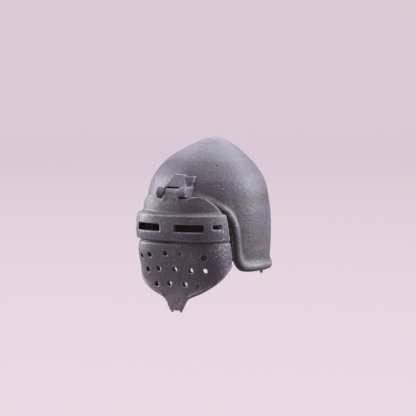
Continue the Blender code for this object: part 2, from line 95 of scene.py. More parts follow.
# Skull above the seat: share of the crown's height, of the half sizes, of the apex setback, of the ridge
CROWN = (
    (0.000, 0.966, 0.00, 0.0),
    (0.160, 0.942, 0.00, 0.1),
    (0.339, 0.886, 0.00, 0.5),
    (0.494, 0.792, 0.03, 0.9),
    (0.651, 0.656, 0.12, 1.0),
    (0.772, 0.503, 0.40, 1.0),
    (0.883, 0.329, 0.80, 0.8),
    (0.960, 0.180, 0.97, 0.3),
    (0.992, 0.080, 1.00, 0.0),
    (1.000, 0.000, 1.00, 0.0),
)

# Skull below the seat: share of the skirt's depth, share of the half sizes
SKIRT = (
    (0.00, 0.966),
    (0.19, 0.992),
    (0.42, 1.000),
    (0.65, 0.995),
    (0.82, 0.984),
    (1.00, 0.975),
)

# Edge of the face opening: share of its half angle, share of the way down to the low rim
FACE_EDGE = (
    (0.00, 0.000),
    (0.22, 0.008),
    (0.45, 0.045),
    (0.68, 0.143),
    (0.81, 0.215),
    (0.92, 0.340),
    (0.975, 0.480),
    (1.00, 0.640),
    (1.02, 0.800),
    (1.06, 0.920),
    (1.15, 0.990),
    (1.25, 1.000),
)

# Visor body: share of the chin's depth below the seat, of the half width, of the reach, corner exponent
FACE = (
    (-0.095, 0.852, 0.947, 2.2),
    (-0.060, 0.868, 0.953, 2.2),
    (0.035, 0.903, 0.970, 2.2),
    (0.095, 0.917, 0.976, 2.2),
    (0.125, 0.985, 0.990, 2.3),
    (0.260, 0.998, 0.992, 2.5),
    (0.400, 0.995, 0.966, 2.5),
    (0.550, 0.990, 0.920, 3.0),
    (0.720, 0.968, 0.861, 2.9),
    (0.830, 0.953, 0.823, 2.9),
    (0.900, 0.932, 0.806, 3.1),
    (0.970, 0.887, 0.803, 3.2),
    (1.030, 0.853, 0.810, 3.2),
    (1.150, 0.814, 0.829, 3.2),
)

# Rear edge of the visor, from the side: share of the chin's depth, share of the visor's back line
REAR_EDGE = (
    (0.024, 1.471),
    (0.060, 1.392),
    (0.095, 1.335),
    (0.144, 1.315),
    (0.243, 1.265),
    (0.374, 1.185),
    (0.485, 1.080),
    (0.600, 1.015),
    (0.760, 0.985),
)

# Top edge of the brow, from the side: share of the visor's back line, share of the visor's top
BROW_EDGE = (
    (1.947, 0.91),
    (1.893, 1.13),
    (1.840, 1.37),
    (1.771, 1.54),
    (1.707, 1.41),
    (1.640, 1.03),
    (1.583, 0.57),
    (1.525, 0.04),
)

# Lower edge of the visor: degrees from the middle of the face, share of the chin's depth
CHIN_EDGE = (
    (0, 1.146),
    (15, 1.138),
    (18, 1.115),
    (21, 1.087),
    (24, 1.060),
    (28, 1.033),
    (34, 1.008),
    (48, 0.965),
    (62, 0.892),
    (74, 0.800),
    (84, 0.720),
    (92, 0.660),
    (101, 0.620),
)

# Breath holes: share of the half width from the middle, share of the chin's depth, share of the radius
BREATHS = (
    (-0.765, 0.580, 1.00),
    (-0.530, 0.558, 1.00),
    (-0.150, 0.532, 1.00),
    (0.665, 0.568, 1.25),
    (-0.640, 0.724, 1.00),
    (-0.360, 0.704, 1.00),
    (0.010, 0.703, 1.00),
    (0.362, 0.709, 1.00),
    (0.650, 0.711, 1.00),
    (-0.455, 0.874, 1.00),
    (-0.155, 0.861, 1.00),
    (0.192, 0.862, 1.00),
)

# Holes that the print has closed, left as shallow dimples: the same columns
DIMPLES = (
    (0.190, 0.545, 1.05),
    (0.475, 0.885, 0.85),
)


# Where supports stood under the rim, in degrees round from the face
RIM_STUBS = (96.0, -118.0)

# Where the resin is most speckled, and in the last row pale specks painted on the stem as painted light:
# middle in millimetres, reach in millimetres, strength
SPECKS_AND_PAINTED_LIGHT = (
    ((4.9, -5.0, -4.3), 2.4, 0.75),
    ((5.0, -5.5, -2.5), 1.3, 0.75),
    ((4.7, -4.0, -0.7), 1.5, 0.75),
    ((6.2, 0.0, -5.4), 2.2, 0.5),
    ((2.9, -5.4, -7.8), 1.8, 0.5),
    ((1.6, -1.5, 5.0), 1.5, 0.4),
    # Painted light: pale specks on the stem, standing in for the light that falls on it
    ((0.0, -7.4, 0.4), 1.0, 0.45),
)

# Faint upright scratches on the skull: middle and reach in millimetres
STREAKED = ((5.74, -2.5, -2.9), 2.4)

# The resin's relief: size of its features in millimetres, detail, stretch, height
RELIEF = (
    (0.10, 1.0, (0.08, 0.08, 1.0), 0.35),
    (0.09, 2.0, (1, 1, 1), 0.4),
    (0.80, 2.0, (1, 1, 1), 1.2),
    (0.28, 2.0, (1, 1, 1), 0.9),
)

# Small pits in the skull: middle in millimetres, radius in millimetres
PITS = (
    ((2.87, -3.41, 3.54), 0.16),
    ((3.76, -4.25, 1.76), 0.15),
    ((3.32, -5.02, 0.38), 0.13),
)

# Name, degrees round from the camera, degrees up, watts
SOFTBOXES = (
    ("softbox_left", -110, 14, 4.2),
    ("softbox_left_high", -80, 45, 0.8),
    ("softbox_right", 95, 22, 3.7),
    ("softbox_right_high", 130, 50, 1.9),
    ("softbox_back", 180, 40, 1.3),
    ("softbox_top", 20, 82, 0.95),
)


# Shapes as whole arrays


def curve_through(table, column, at):
    """One column of a table read at values of its first column, along monotone cubic pieces."""
    rows = np.array(table, float)
    known, values = rows[:, 0], rows[:, column]
    steps = np.diff(known)
    slopes = np.diff(values) / steps
    tangents = np.zeros(len(known))
    same = slopes[:-1] * slopes[1:] > 0
    before, after = 2 * steps[1:] + steps[:-1], steps[1:] + 2 * steps[:-1]
    left, right = np.where(same, slopes[:-1], 1), np.where(same, slopes[1:], 1)
    tangents[1:-1] = np.where(same, (before + after) / (before / left + after / right), 0)
    tangents[0], tangents[-1] = slopes[0], slopes[-1]
    at = np.clip(at, known[0], known[-1])
    piece = np.clip(np.searchsorted(known, at, side="right") - 1, 0, len(steps) - 1)
    t = (at - known[piece]) / steps[piece]
    rise = values[piece + 1] - values[piece]
    start, end = tangents[piece] * steps[piece], tangents[piece + 1] * steps[piece]
    return values[piece] + t * (start + t * ((3 * rise - 2 * start - end) + t * (start + end - 2 * rise)))


def smooth_step(share):
    """3 s squared less 2 s cubed, held between 0 and 1."""
    share = np.clip(share, 0.0, 1.0)
    return share * share * (3 - 2 * share)


def along_last(points):
    """Each vector of the last axis brought to length 1."""
    return points / np.maximum(np.linalg.norm(points, axis=-1, keepdims=True), 1e-12)


def evenly_spaced(points, count):
    """Parameters, from 0 to 1, at which a path of points is cut into equal lengths."""
    lengths = np.concatenate(([0.0], np.cumsum(np.linalg.norm(np.diff(points, axis=0), axis=1))))
    return np.interp(np.linspace(0, lengths[-1], count), lengths, np.linspace(0, 1, len(points)))


def direction(turn, lift=0.0):
    """Unit vectors at bearings round from the face and angles above the horizon."""
    turn, lift = np.broadcast_arrays(np.asarray(turn, float), np.asarray(lift, float))
    return np.stack((np.sin(turn) * np.cos(lift), -np.cos(turn) * np.cos(lift), np.sin(lift)), axis=-1)


def full_turn(count):
    """Angles evenly spaced once round."""
    return np.linspace(0, 2 * np.pi, count, endpoint=False)


def falling(count):
    """Shares that fall to 0 in even steps, the first one step below 1, for the rows of a grid of points."""
    return np.linspace(1, 0, count + 1)[1:, None, None]


def grid_faces(rows, columns, around):
    """Quads of a grid whose points are numbered row by row; around closes each row on itself."""
    row = np.arange(rows - 1)[:, None] * columns
    here = np.arange(columns if around else columns - 1)
    after = (here + 1) % columns
    quads = np.stack((row + here, row + after, row + columns + after, row + columns + here), axis=-1)
    return quads.reshape(-1, 4)


def add_object(name, data):
    made = bpy.data.objects.new(name, data)
    bpy.context.scene.collection.objects.link(made)
    return made


def mesh_piece(name, points, faces):
    """A mesh object from an array of points and a list of faces, turned outwards and shaded smooth."""
    mesh = bpy.data.meshes.new(name)
    mesh.from_pydata(points.reshape(-1, 3).tolist(), [], faces)
    mesh.validate()
    if enclosed_volume(mesh) < 0:
        mesh.flip_normals()
    mesh.shade_smooth()
    return add_object(name, mesh)


def enclosed_volume(mesh):
    """Sum over the mesh's triangles of a sixth of the triple product of their corners."""
    mesh.calc_loop_triangles()
    corners = np.zeros(len(mesh.loop_triangles) * 3, np.int32)
    mesh.loop_triangles.foreach_get("vertices", corners)
    a, b, c = vertex_vectors(mesh, "co")[corners.reshape(-1, 3)].transpose(1, 0, 2)
    return float(np.einsum("ij,ij->", a, np.cross(b, c))) / 6


def vertex_vectors(mesh, name):
    """Every vertex's place, named co, or its normal, as an array (vertices, 3)."""
    values = np.zeros(len(mesh.vertices) * 3, np.float32)
    mesh.vertices.foreach_get(name, values)
    return values.reshape(-1, 3).astype(float)


def capped_grid(name, points):
    """A closed skin through rings of points (rings, ring points, 3), with a flat cap at each end."""
    rings, count = points.shape[:2]
    faces = grid_faces(rings, count, True).tolist()
    faces.append(list(range(count))[::-1])
    faces.append(list(range((rings - 1) * count, rings * count)))
    return mesh_piece(name, points, faces)


def poled_grid(name, first, points, last):
    """A closed skin through rings of points, with a fan of triangles to a pole at each end."""
    rings, count = points.shape[:2]
    here = np.arange(count)
    after = (here + 1) % count
    end = 1 + rings * count
    low = np.stack((np.zeros(count, int), 1 + after, 1 + here), axis=-1)
    high = np.stack((end - count + here, end - count + after, np.full(count, end)), axis=-1)
    quads = grid_faces(rings, count, True) + 1
    everything = np.concatenate(([first], points.reshape(-1, 3), [last]))
    return mesh_piece(name, everything, low.tolist() + quads.tolist() + high.tolist())


def path_frames(path, closed):
    """Outward side and binormal along a path, the side turned as little as possible off radial."""
    if closed:
        tangent = along_last(np.roll(path, -1, axis=0) - np.roll(path, 1, axis=0))
    else:
        tangent = along_last(np.gradient(path, axis=0))
    radial = along_last(path * (1, 1, 0) - (0, -1e-9, 0))
    side = along_last(radial - np.sum(radial * tangent, axis=1, keepdims=True) * tangent)
    return side, np.cross(tangent, side)


def bead(name, path, radii, sides):
    """A round profile of the given radii carried along an open path, capped at both ends."""
    side, up = path_frames(path, False)
    turn = full_turn(sides)
    ring = side[:, None] * np.cos(turn)[None, :, None] + up[:, None] * np.sin(turn)[None, :, None]
    return capped_grid(name, path[:, None] + ring * radii[:, None, None])


def cylinder_between(name, start, end, radius):
    """A round bar with flat ends from one point to another."""
    line = along_last(end - start)
    across = along_last(np.cross(line, (0.3, 0.5, 0.8)))
    turn = full_turn(48)[:, None]
    ring = radius * (np.cos(turn) * across + np.sin(turn) * np.cross(line, across))
    return capped_grid(name, np.stack((start + ring, end + ring)))


def prism(name, outline, axis, low, high):
    """A flat outline (points, 2) carried along one axis from low to high."""
    outline = np.array(outline, float)
    ends = [np.insert(outline, axis, place, axis=1) for place in (low, high)]
    return capped_grid(name, np.stack(ends))


def block(name, low, high):
    """A box between two corners."""
    low, high = np.array(low, float), np.array(high, float)
    outline = [(low[0], low[1]), (high[0], low[1]), (high[0], high[1]), (low[0], high[1])]
    return prism(name, outline, 2, low[2], high[2])


# Joining and softening a piece, and marking its edges and its painted shade


def combine(piece, operation, others):
    """Joins, cuts or meets a piece with others, which are used up."""
    for other in others:
        step = piece.modifiers.new(other.name, "BOOLEAN")
        step.operation = operation
        step.solver = "MANIFOLD"
        step.object = other
    settle(piece)
    for other in others:
        bpy.data.objects.remove(other, do_unlink=True)


def settle(piece):
    """Turns a piece's modifiers into mesh."""
    bpy.context.view_layer.update()
    seen = piece.evaluated_get(bpy.context.evaluated_depsgraph_get())
    mesh = bpy.data.meshes.new_from_object(seen)
    piece.modifiers.clear()
    old = piece.data
    piece.data = mesh
    bpy.data.meshes.remove(old)
    mesh.name = piece.name


def soften(piece, grain, passes):
    """Rebuilds a piece's skin from even small quads and relaxes it, so that every edge is rounded."""
    step = piece.modifiers.new("even skin", "REMESH")
    step.mode = "VOXEL"
    step.voxel_size = grain
    step.use_smooth_shade = True
    relax = piece.modifiers.new("relaxed", "SMOOTH")
    relax.factor = 0.5
    relax.iterations = passes
    settle(piece)


def neighbour_means(mesh, values, passes):
    """Values at the vertices, each mixed half and half with its neighbours' mean, again and again."""
    ends = np.zeros(len(mesh.edges) * 2, np.int32)
    mesh.edges.foreach_get("vertices", ends)
    one, two = ends.reshape(-1, 2).T
    here, there = np.concatenate((one, two)), np.concatenate((two, one))
    count = len(mesh.vertices)
    joined = np.maximum(np.bincount(here, minlength=count), 1)[:, None]
    values = values.reshape(count, -1)
    for _ in range(passes):
        total = [np.bincount(here, column[there], minlength=count) for column in values.T]
        values = (values + np.stack(total, axis=1) / joined) / 2
    return values


def mark_edges(piece, passes, reach):
    """Stores how far each vertex stands above its smoothed surroundings.

    It is 0.5 where the skin is flat, 1 where it stands out by the reach, and 0 where it lies in by as much.
    """
    mesh = piece.data
    places = vertex_vectors(mesh, "co")
    offset = places - neighbour_means(mesh, places, passes)
    height = np.sum(offset * vertex_vectors(mesh, "normal"), axis=1)
    store(piece, "edge_wear", np.clip(0.5 + height / (2 * reach), 0.0, 1.0))


def store(piece, name, values):
    """Keeps one number for each vertex, for the material to read."""
    layer = piece.data.attributes.new(name, "FLOAT", "POINT")
    layer.data.foreach_set("value", values.astype(np.float32).ravel())


def mark_painted_inner_shade(piece, sizes):
    """Stores painted shade: 1 where the visor faces its own upright axis and in the groove under the band, 0
    where it faces away.
    """
    mesh = piece.data
    places = vertex_vectors(mesh, "co") + (0, sizes.back, 0)
    facing = -np.sum(vertex_vectors(mesh, "normal") * along_last(places * (1, 1, 0)), axis=1)
    inside = neighbour_means(mesh, np.clip(facing * 1.5, 0.0, 1.0), 4)[:, 0]
    groove = groove_share(sizes, np.arctan2(-places[:, 1], places[:, 0]), -places[:, 2])
    store(piece, "inside", np.maximum(inside, groove * (facing < 0)))


def groove_share(sizes, bearing, drop):
    """Share of the depth of the groove under the band: a bell over its height, fainter on one side.

    The bearing turns from the wearer's left, at 0, round the face.
    """
    below = (drop - sizes.band_top - sizes.band_height) / sizes.groove_width - GROOVE_DROP
    deepening = smooth_step((bearing - GROOVE_FROM) / GROOVE_OVER)
    return np.exp(-(below**2)) * (GROOVE_FAINT + (1 - GROOVE_FAINT) * deepening)


# The skull


def skull_surface(sizes, bearing, height, offset=0.0):
    """The skull's outside at bearings round from the face and heights above the seat, moved out by offset.

    At each height it is a half ellipse to the front and another to the back, both shrunk by the tables'
    share, with a bell-shaped ridge added at the middle of the front.
    """
    bearing, height = np.broadcast_arrays(np.asarray(bearing, float), np.asarray(height, float))
    above = np.maximum(height, 0) / sizes.crown_height
    below = np.maximum(-height, 0) / sizes.skirt_depth
    share = np.where(height >= 0, curve_through(CROWN, 1, above), curve_through(SKIRT, 1, below))
    setback = curve_through(CROWN, 2, above) * sizes.apex_setback
    ridge = curve_through(CROWN, 3, above) * sizes.ridge_height
    across, along = np.sin(bearing), -np.cos(bearing)
    depth = np.where(along < 0, sizes.front, sizes.back)
    turned = np.mod(bearing + np.pi, 2 * np.pi) - np.pi
    radius = share / np.hypot(across / sizes.half_width, along / depth) + offset
    radius = radius + ridge * np.exp(-((turned / sizes.ridge_spread) ** 2))
    return np.stack((across * radius, setback + along * radius, height), axis=-1)


def rim_line(sizes, count):
    """Bearings and heights of the rim's middle, evenly spaced: round the face opening, then the low edge."""
    low = sizes.rim_radius - sizes.skirt_depth
    face_samples, back_samples = 600, 400
    share = np.linspace(0, FACE_EDGE[-1][0], face_samples)
    bearing = share * sizes.face_half_angle
    height = sizes.face_top + curve_through(FACE_EDGE, 1, share) * (low - sizes.face_top)
    back = np.linspace(bearing[-1], np.pi, back_samples)[1:]
    bearing = np.concatenate((bearing, back))
    height = np.concatenate((height, np.full(len(back), low)))
    places = skull_surface(sizes, bearing, height, sizes.rim_proud - sizes.rim_radius)
    at = evenly_spaced(places, count // 2 + 1)
    spread = np.linspace(0, 1, len(bearing))
    bearing, height = np.interp(at, spread, bearing), np.interp(at, spread, height)
    bearing = np.concatenate((bearing, 2 * np.pi - bearing[-2:0:-1]))
    return bearing, np.concatenate((height, height[-2:0:-1]))


def build_skull(sizes):
    """The skull as one closed skin: dome, rim, cavity wall, flat seat and stud socket.

    Every column starts at the apex, runs down the dome to where the rim's outline meets it, goes round that
    outline, up the cavity's wall to the seat, and in to the middle of the socket's roof. The rim's outline is
    round outside, and towards the opening it is a curve between a circle and a square.
    """
    columns = sizes.columns
    bearing, height = rim_line(sizes, columns)
    middle = skull_surface(sizes, bearing, height, sizes.rim_proud - sizes.rim_radius)
    side, away = path_frames(middle, True)
    away = away * np.sign(away[columns // 2, 2])

    meets = math.acos(1 - sizes.rim_proud / sizes.rim_radius)
    angle = np.linspace(meets, -RIM_TURN, RIM_ROWS)[:, None, None]
    power = np.where(angle < 0, sizes.rim_corner, 2.0)
    swell = (np.abs(np.cos(angle)) ** power + np.abs(np.sin(angle)) ** power) ** (-1 / power)
    at_face = smooth_step((height - height.min()) / (sizes.skirt_depth * RIM_SLIMS_OVER))
    radius = sizes.rim_radius * (1 - (1 - sizes.rim_slim) * at_face)[:, None]
    rolled = middle + radius * swell * (np.cos(angle) * side + np.sin(angle) * away)

    start = rolled[0]
    start_bearing = np.unwrap(np.arctan2(start[:, 0], -start[:, 1]))
    start_bearing += bearing[0] - start_bearing[0]
    rise = np.linspace(1, 0, sizes.dome_rows + 1)[:, None]
    turn = start_bearing + (full_turn(columns) - start_bearing) * smooth_step(rise * COLUMN_TURN)
    level = start[:, 2] + (sizes.crown_height - start[:, 2]) * np.sin(np.pi / 2 * rise)
    dome = skull_surface(sizes, turn, level)
    dome = dome + (start - dome[-1]) * np.exp(-rise[:, :, None] * JOINT_FADE)

    facing = direction(bearing)
    cavity, socket, roof = sizes.cavity_radius, sizes.socket_radius, np.array((0, 0, sizes.socket_depth))
    wall = facing * cavity + np.array((0, 0, 1)) * height[:, None] * falling(WALL_ROWS)
    seat = facing * (socket + (cavity - socket) * falling(SEAT_ROWS))
    socket_wall = facing * socket + (1 - falling(SOCKET_ROWS)) * roof
    socket_roof = facing * socket * falling(ROOF_ROWS)[:-1] + roof
    rows = np.concatenate((dome[1:-1], rolled, wall, seat, socket_wall, socket_roof))
    skull = poled_grid("skull_shell", dome[0].mean(axis=0), rows, roof)
    round_joint(skull, columns, sizes.dome_rows)
    mark_edges(skull, EDGE_PASSES, EDGE_REACH)
    row = (np.arange(len(skull.data.vertices)) - 1) // columns
    # Painted shade: the rim's face towards the opening and the cavity are darkened, standing in for the
    # shadow there
    store(skull, "inside", smooth_step((row - sizes.dome_rows - INNER_SHADE_FROM) / INNER_SHADE_OVER))
    return skull


def round_joint(skull, columns, joint_row):
    """Relaxes the few rows each side of the rim's joint with the dome, most at the joint itself."""
    reach, passes = 9, 20
    mesh = skull.data
    places = vertex_vectors(mesh, "co")
    row = (np.arange(len(places)) - 1) // columns + 1
    near = np.clip(1 - np.abs(row - joint_row) / reach, 0, 1)[:, None]
    places = places + (neighbour_means(mesh, places, passes) - places) * smooth_step(near)
    mesh.vertices.foreach_set("co", places.astype(np.float32).ravel())
    mesh.update()


# The visor


def visor_profile(sizes, drop, inset=0.0):
    """Half width, reach and corner exponent of the visor at depths below the seat, with the band's step."""
    width, reach, corner = (curve_through(FACE, column, drop / sizes.chin_depth) for column in (1, 2, 3))
    above = (drop - sizes.band_top - inset) / sizes.band_edge
    below = (sizes.band_top + sizes.band_height - inset - drop) / sizes.band_edge
    proud = smooth_step(above + 0.5) * smooth_step(below + 0.5) * sizes.band_proud
    half = width * sizes.half_width + sizes.band_side_share * proud - inset
    return half, reach * sizes.reach + proud - inset, corner


def visor_surface(sizes, bearing, drop, inset=0.0):
    """The visor's wall, inset by a depth: each level is a curve between an ellipse and a box.

    A point stands at the radius where (across / half width) and (ahead / depth), each to the power of the
    corner exponent, add up to one. The outer wall has the groove under the band.
    """
    bearing, drop = np.broadcast_arrays(np.asarray(bearing, float), np.asarray(drop, float))
    half, forward, corner = visor_profile(sizes, drop, inset)
    across, ahead = np.cos(bearing), np.sin(bearing)
    depth = forward - sizes.back
    radius = (np.abs(across / half) ** corner + np.abs(ahead / depth) ** corner) ** (-1 / corner)
    if inset == 0:
        radius = radius - sizes.groove_depth * groove_share(sizes, bearing, drop)
    return np.stack((across * radius, -sizes.back - ahead * radius, -drop), axis=-1)


def visor_wall_point(sizes, across, drop):
    """Place and outward direction of the visor's wall at a distance across and a depth below the seat."""
    half, forward, corner = visor_profile(sizes, drop)
    depth = forward - sizes.back
    share = abs(across) / half
    ahead = depth * (1 - share**corner) ** (1 / corner)
    lean = math.copysign(share ** (corner - 1) / half, across)
    outward = np.array((lean, -((ahead / depth) ** (corner - 1)) / depth, 0.0))
    return np.array((across, -sizes.back - ahead, -drop)), along_last(outward)


def visor_blank(sizes):
    """The whole wall before it is trimmed: outer rows down, inner rows back up, carried round the face."""
    over = math.radians(3)
    bearing = np.linspace(-over, math.pi + over, VISOR_POINTS[0])[:, None]
    drop = np.linspace(FACE[0][0], FACE[-1][0], VISOR_POINTS[1]) * sizes.chin_depth
    outer = visor_surface(sizes, bearing, drop)
    inner = visor_surface(sizes, bearing, drop[::-1], sizes.wall)
    return capped_grid("visor_shell", np.concatenate((outer, inner), axis=1))


def visor_side_outline(sizes):
    """What is kept of the wall, seen from the side: all in front of its rear edge and below its top."""
    share = np.linspace(REAR_EDGE[0][0], REAR_EDGE[-1][0], 60)
    rear = np.stack((-curve_through(REAR_EDGE, 1, share) * sizes.back, -share * sizes.chin_depth), axis=-1)
    far = 4 * sizes.half_width
    brow = np.array(BROW_EDGE) * (-sizes.back, sizes.top)
    after = [(rear[-1, 0], -far), (-far, -far)]
    outline = np.concatenate(([(-far, brow[0, 1])], brow, rear, after))
    return prism("side_outline", outline, 0, -far, far)


def chin_line(sizes, count):
    """Bearings from the middle of the face and heights of the lower edge, from the tongue outwards."""
    degrees = np.linspace(CHIN_EDGE[1][0], CHIN_EDGE[-1][0], count)
    return np.radians(degrees), -curve_through(CHIN_EDGE, 1, degrees) * sizes.chin_depth


def chin_cutter(sizes):
    """Cuts the wall away below the chin, straight out from an upright axis, and leaves the tongue."""
    bearing, top = chin_line(sizes, 60)
    low = -sizes.chin_depth - sizes.tongue_length
    bearing = np.concatenate((np.array((0.0, 0.5, 1.0)) * sizes.tongue_half_angle, bearing))
    top = np.concatenate(([low, low, low], top))
    bearing = np.concatenate((-bearing[:0:-1], bearing))
    top = np.concatenate((top[:0:-1], top))
    far, inner = 4 * sizes.half_width, sizes.wall / 2
    bottom = np.full(len(top), -far)
    corners = []
    for radius, height in ((inner, bottom), (far, bottom), (far, top), (inner, top)):
        corner = direction(bearing) * radius + (0, -sizes.back, 0)
        corner[:, 2] = height
        corners.append(corner)
    return capped_grid("chin_cutter", np.stack(corners, axis=1))


def chin_lips(sizes):
    """The rounded lip along the lower edge on each side, a bead that is slim where it starts."""
    bearing, height = (values[10:] for values in chin_line(sizes, 90))
    level = -height - sizes.lip_radius * 0.9
    path = visor_surface(sizes, np.pi / 2 - bearing, level, sizes.lip_radius - sizes.lip_proud)
    path = path[path[:, 1] < -sizes.back]
    taper = smooth_step(np.linspace(0, 1, len(path)) * 6) * 0.7 + 0.3
    return [bead("chin_lip", path * (side, 1, 1), sizes.lip_radius * taper, 16) for side in (1, -1)]


def level_ring(height, front, front_width, rear, rear_width):
    """The four corners of a level ring that may be wider at its rear than at its front."""
    return [
        (-front_width / 2, front, height),
        (front_width / 2, front, height),
        (rear_width / 2, rear, height),
        (-rear_width / 2, rear, height),
    ]


def visor_stem(sizes, hinge):
    """The stem from the brow up to the knuckle, wider at its foot, as a skin through level rings."""
    front = -visor_profile(sizes, -sizes.top)[1] - sizes.stem_stand
    neck = STEM_NECK_SHARE * hinge.knuckle_radius
    levels = (
        (sizes.top - sizes.wall, sizes.stem_foot_width, front),
        (sizes.top, sizes.stem_foot_width, front),
        (HINGE[2] + neck / 2, sizes.stem_top_width, HINGE[1] - hinge.knuckle_radius),
    )
    rings = [level_ring(height, face, width, HINGE[1] + neck, width) for height, width, face in levels]
    return capped_grid("visor_stem", np.array(rings))


def visor_openings(sizes):
    """Cutters for the long and short sights, the breath holes and the closed holes' dimples."""
    cutters = [chin_cutter(sizes)]
    low, high = -sizes.slot_drop - sizes.slot_height / 2, -sizes.slot_drop + sizes.slot_height / 2
    near, far = -4 * sizes.half_width, -sizes.back - sizes.wall
    corners = np.array(((-1, -1), (1, -1), (1, 1), (-1, 1))) / 2
    for side in (1, -1):
        ends = sorted((side * sizes.slot_bridge / 2, side * (sizes.slot_bridge / 2 + sizes.slot_length)))
        cutters.append(block("long_sight", (ends[0], near, low), (ends[1], far, high)))
        place, outward = visor_wall_point(sizes, side * sizes.short_slot_place, sizes.slot_drop - 0.1 * MM)
        along = np.array((-outward[1], outward[0], 0.0)) * sizes.short_slot_length
        ring = place + corners[:, :1] * along + corners[:, 1:] * (0, 0, sizes.short_slot_height)
        reach = outward * sizes.wall * 1.15
        cutters.append(capped_grid("short_sight", np.stack((ring - reach, ring + reach))))
    through = 2 * sizes.wall
    for table, inwards, outwards in ((BREATHS, through, through), (DIMPLES, sizes.dimple_depth, sizes.wall)):
        for across, drop, size in table:
            place, outward = visor_wall_point(sizes, across * sizes.half_width, drop * sizes.chin_depth)
            start, end = place - outward * inwards, place + outward * outwards
            cutters.append(cylinder_between("breath", start, end, size * sizes.breath_radius))
    return cutters


def build_visor(sizes, hinge):
    """The visor as one soft-edged skin: wall and band, lips, stem and knuckle, with every opening cut."""
    visor = visor_blank(sizes)
    combine(visor, "INTERSECT", [visor_side_outline(sizes)])
    room = hinge.ear_gap / 2 + hinge.ear_width + hinge.knuckle_clearance
    high = (room, -sizes.back, 4 * sizes.top)
    openings = visor_openings(sizes) + [block("ear_room", (-room, -2 * sizes.reach, sizes.top), high)]
    combine(visor, "DIFFERENCE", openings)
    half = hinge.ear_gap / 2 - hinge.knuckle_clearance
    knuckle = cylinder_between("knuckle", HINGE - (half, 0, 0), HINGE + (half, 0, 0), hinge.knuckle_radius)
    combine(visor, "UNION", [visor_stem(sizes, hinge), knuckle] + chin_lips(sizes))
    soften(visor, sizes.grain, VISOR_PASSES)
    mark_edges(visor, EDGE_PASSES, EDGE_REACH)
    mark_painted_inner_shade(visor, sizes)
    return visor


# The hinge


def dome_solid(skull, offset):
    """The skull's outside above the face as a closed solid, moved out by offset."""
    skirt = np.linspace(-0.3, 0, 12, endpoint=False)
    height = np.concatenate((skirt, np.sin(np.linspace(0, np.pi / 2, 90)[:-1])))
    rings = skull_surface(skull, full_turn(240), height[:, None] * skull.crown_height, offset)
    rings[:, :, 2] += offset * np.maximum(height, 0)[:, None]
    apex = np.array((0, skull.apex_setback, skull.crown_height + offset))
    return poled_grid("dome", np.array((0, 0, rings[0, 0, 2])), rings, apex)


def hinge_block(hinge, skull):
    """The bevelled block over the knuckle: its front slopes back to the top and its sides spread inwards."""
    foot = HINGE[2] + hinge.knuckle_radius + hinge.block_slot
    skin = skull_surface(skull, 0.0, foot)[1]
    front, rear, spread = skin - hinge.block_reach, skin + 2 * hinge.block_slope, hinge.block_reach / 2
    levels = (
        (foot, hinge.block_foot_width, front),
        (foot + hinge.block_height, hinge.block_top_width, front + hinge.block_slope),
    )
    rings = [level_ring(height, face, width - spread, rear, width + spread) for height, width, face in levels]
    return capped_grid("hinge_block", np.array(rings))


def build_hinge_bracket(hinge, skull):
    """The T-shaped plate laid on the dome, the bevelled block and the two ears, as one soft-edged skin."""
    top = hinge.plate_bottom + hinge.plate_height
    shoulder = top - hinge.wing_height
    half = [(hinge.plate_width / 2, hinge.plate_bottom), (hinge.plate_width / 2, shoulder)]
    half += [(hinge.wing_width / 2, shoulder), (hinge.wing_width / 2, top)]
    outline = half + [(-across, height) for across, height in half[::-1]]
    bracket = prism("hinge_plate", outline, 1, -3 * skull.front, -skull.front / 2)
    combine(bracket, "INTERSECT", [dome_solid(skull, hinge.plate_thickness)])
    pieces = [hinge_block(hinge, skull)]
    root = EAR_ROOT_SHARE * hinge.ear_radius
    for side in (1, -1):
        ends = [side * hinge.ear_gap / 2, side * (hinge.ear_gap / 2 + hinge.ear_width)]
        start, end = (HINGE * (0, 1, 1) + (place, 0, 0) for place in ends)
        pieces.append(cylinder_between("ear", start, end, hinge.ear_radius))
        low, high = (min(ends), HINGE[1], HINGE[2] - root), (max(ends), -skull.cavity_radius, HINGE[2] + root)
        pieces.append(block("ear_root", low, high))
    combine(bracket, "UNION", pieces)
    combine(bracket, "DIFFERENCE", [dome_solid(skull, -hinge.sunk)])
    soften(bracket, hinge.grain, BRACKET_PASSES)
    mark_edges(bracket, EDGE_PASSES, 0.75 * EDGE_REACH)
    return bracket


def build_hinge_pin(hinge):
    """The cross pin, a round bar with rounded ends: its radius follows a quarter ellipse near each end."""
    half = hinge.ear_gap / 2 + hinge.ear_width * 0.8
    place = np.sin(np.linspace(-1, 1, 80) * np.pi / 2) * half
    rounding = np.clip((half - np.abs(place)) / hinge.pin_radius, 0, 1)
    radii = hinge.pin_radius * np.sqrt(np.maximum(1 - (1 - rounding) ** 2, 0.01))
    turn = full_turn(32)
    points = np.zeros((len(place), len(turn), 3))
    points[:, :, 0] = place[:, None]
    points[:, :, 1] = HINGE[1] + radii[:, None] * np.cos(turn)
    points[:, :, 2] = HINGE[2] + radii[:, None] * np.sin(turn)
    pin = capped_grid("hinge_axle", points)
    mark_edges(pin, 4, EDGE_REACH)
    return pin


def build_support_nubs(marks, skull, visor):
    """Stubs left by the print's supports: short tapered beads under the tongue's corners and the rim."""
    low = -visor.chin_depth - visor.tongue_length
    reach = visor_profile(visor, -low)[1]
    nubs = []
    for across in (-marks.tongue_spread, marks.tongue_spread):
        start = np.array((across, -reach + visor.wall * 0.45, low + 0.15 * MM))
        nubs.append(nub("tongue_nub", start, marks.length * 0.8, marks.radius * 0.8))
    inset = skull.rim_proud - skull.rim_radius
    for degrees in RIM_STUBS:
        start = skull_surface(skull, math.radians(degrees), skull.rim_radius - skull.skirt_depth, inset)
        start = start * (1, 1, 0) + (0, 0, -skull.skirt_depth + 0.12 * MM)
        nubs.append(nub("rim_nub", start, marks.length, marks.radius))
    return nubs


